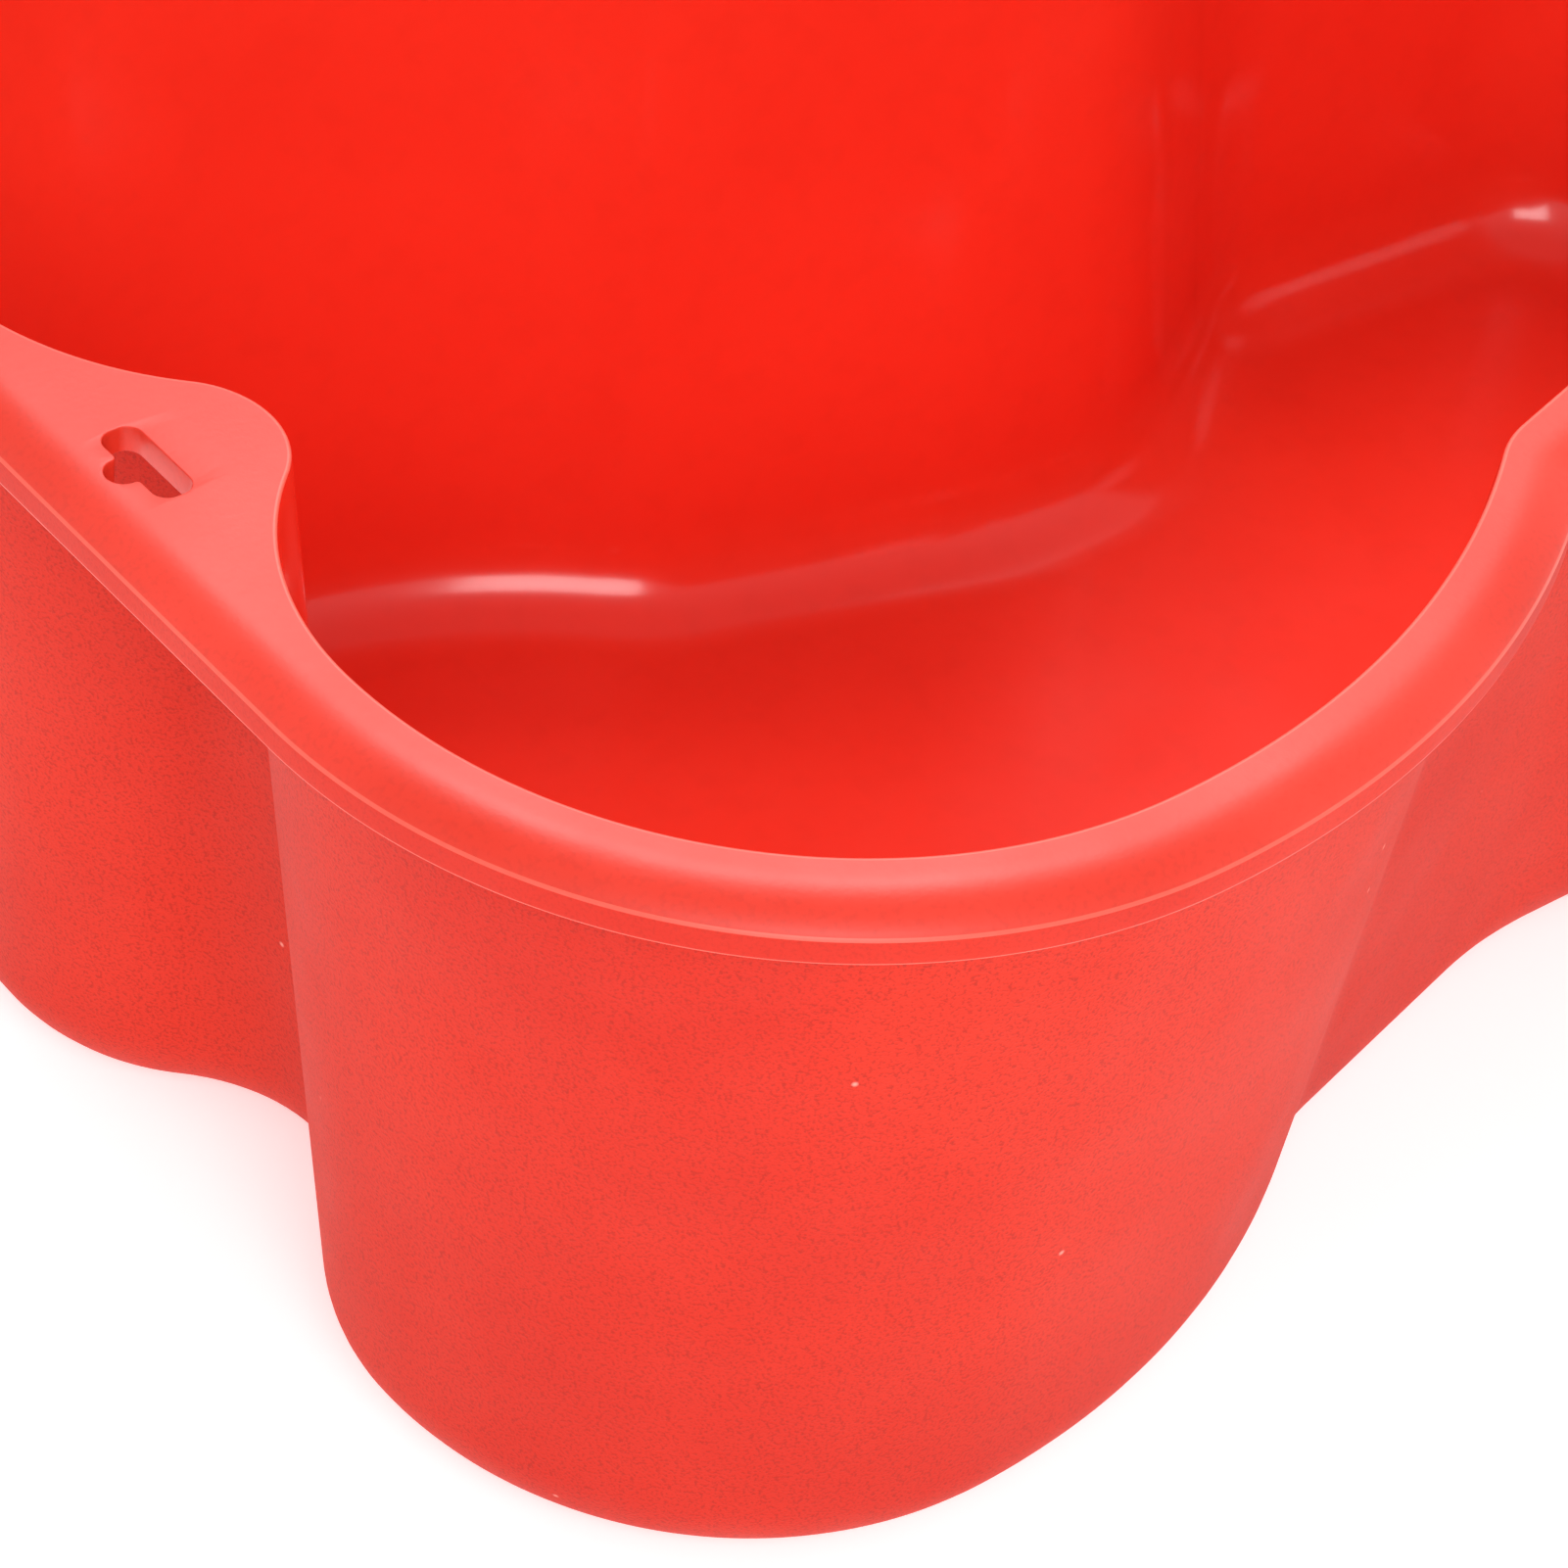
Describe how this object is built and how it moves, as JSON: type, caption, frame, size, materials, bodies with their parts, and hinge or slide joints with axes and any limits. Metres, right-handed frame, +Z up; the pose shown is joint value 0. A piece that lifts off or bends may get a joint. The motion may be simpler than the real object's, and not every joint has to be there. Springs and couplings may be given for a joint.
{
  "type": "silicone cake mould",
  "caption": "Deep one-piece flexible cake mould with twin round lobes, a flared body and a flat flanged rim with a hanging slot.",
  "frame": {"origin": "centre of the underside, in the middle of the mould's length and width", "axes": "+X along the length, from the web with the hanging slot towards the flared end; +Z up, out of the mouth"},
  "size_m": [0.203, 0.1366, 0.0763],
  "materials": {
    "silicone": "fine matte outside, glossy inside"
  },
  "bodies": {
    "root": {"mould_shell": "silicone"}
  },
  "joints": []
}
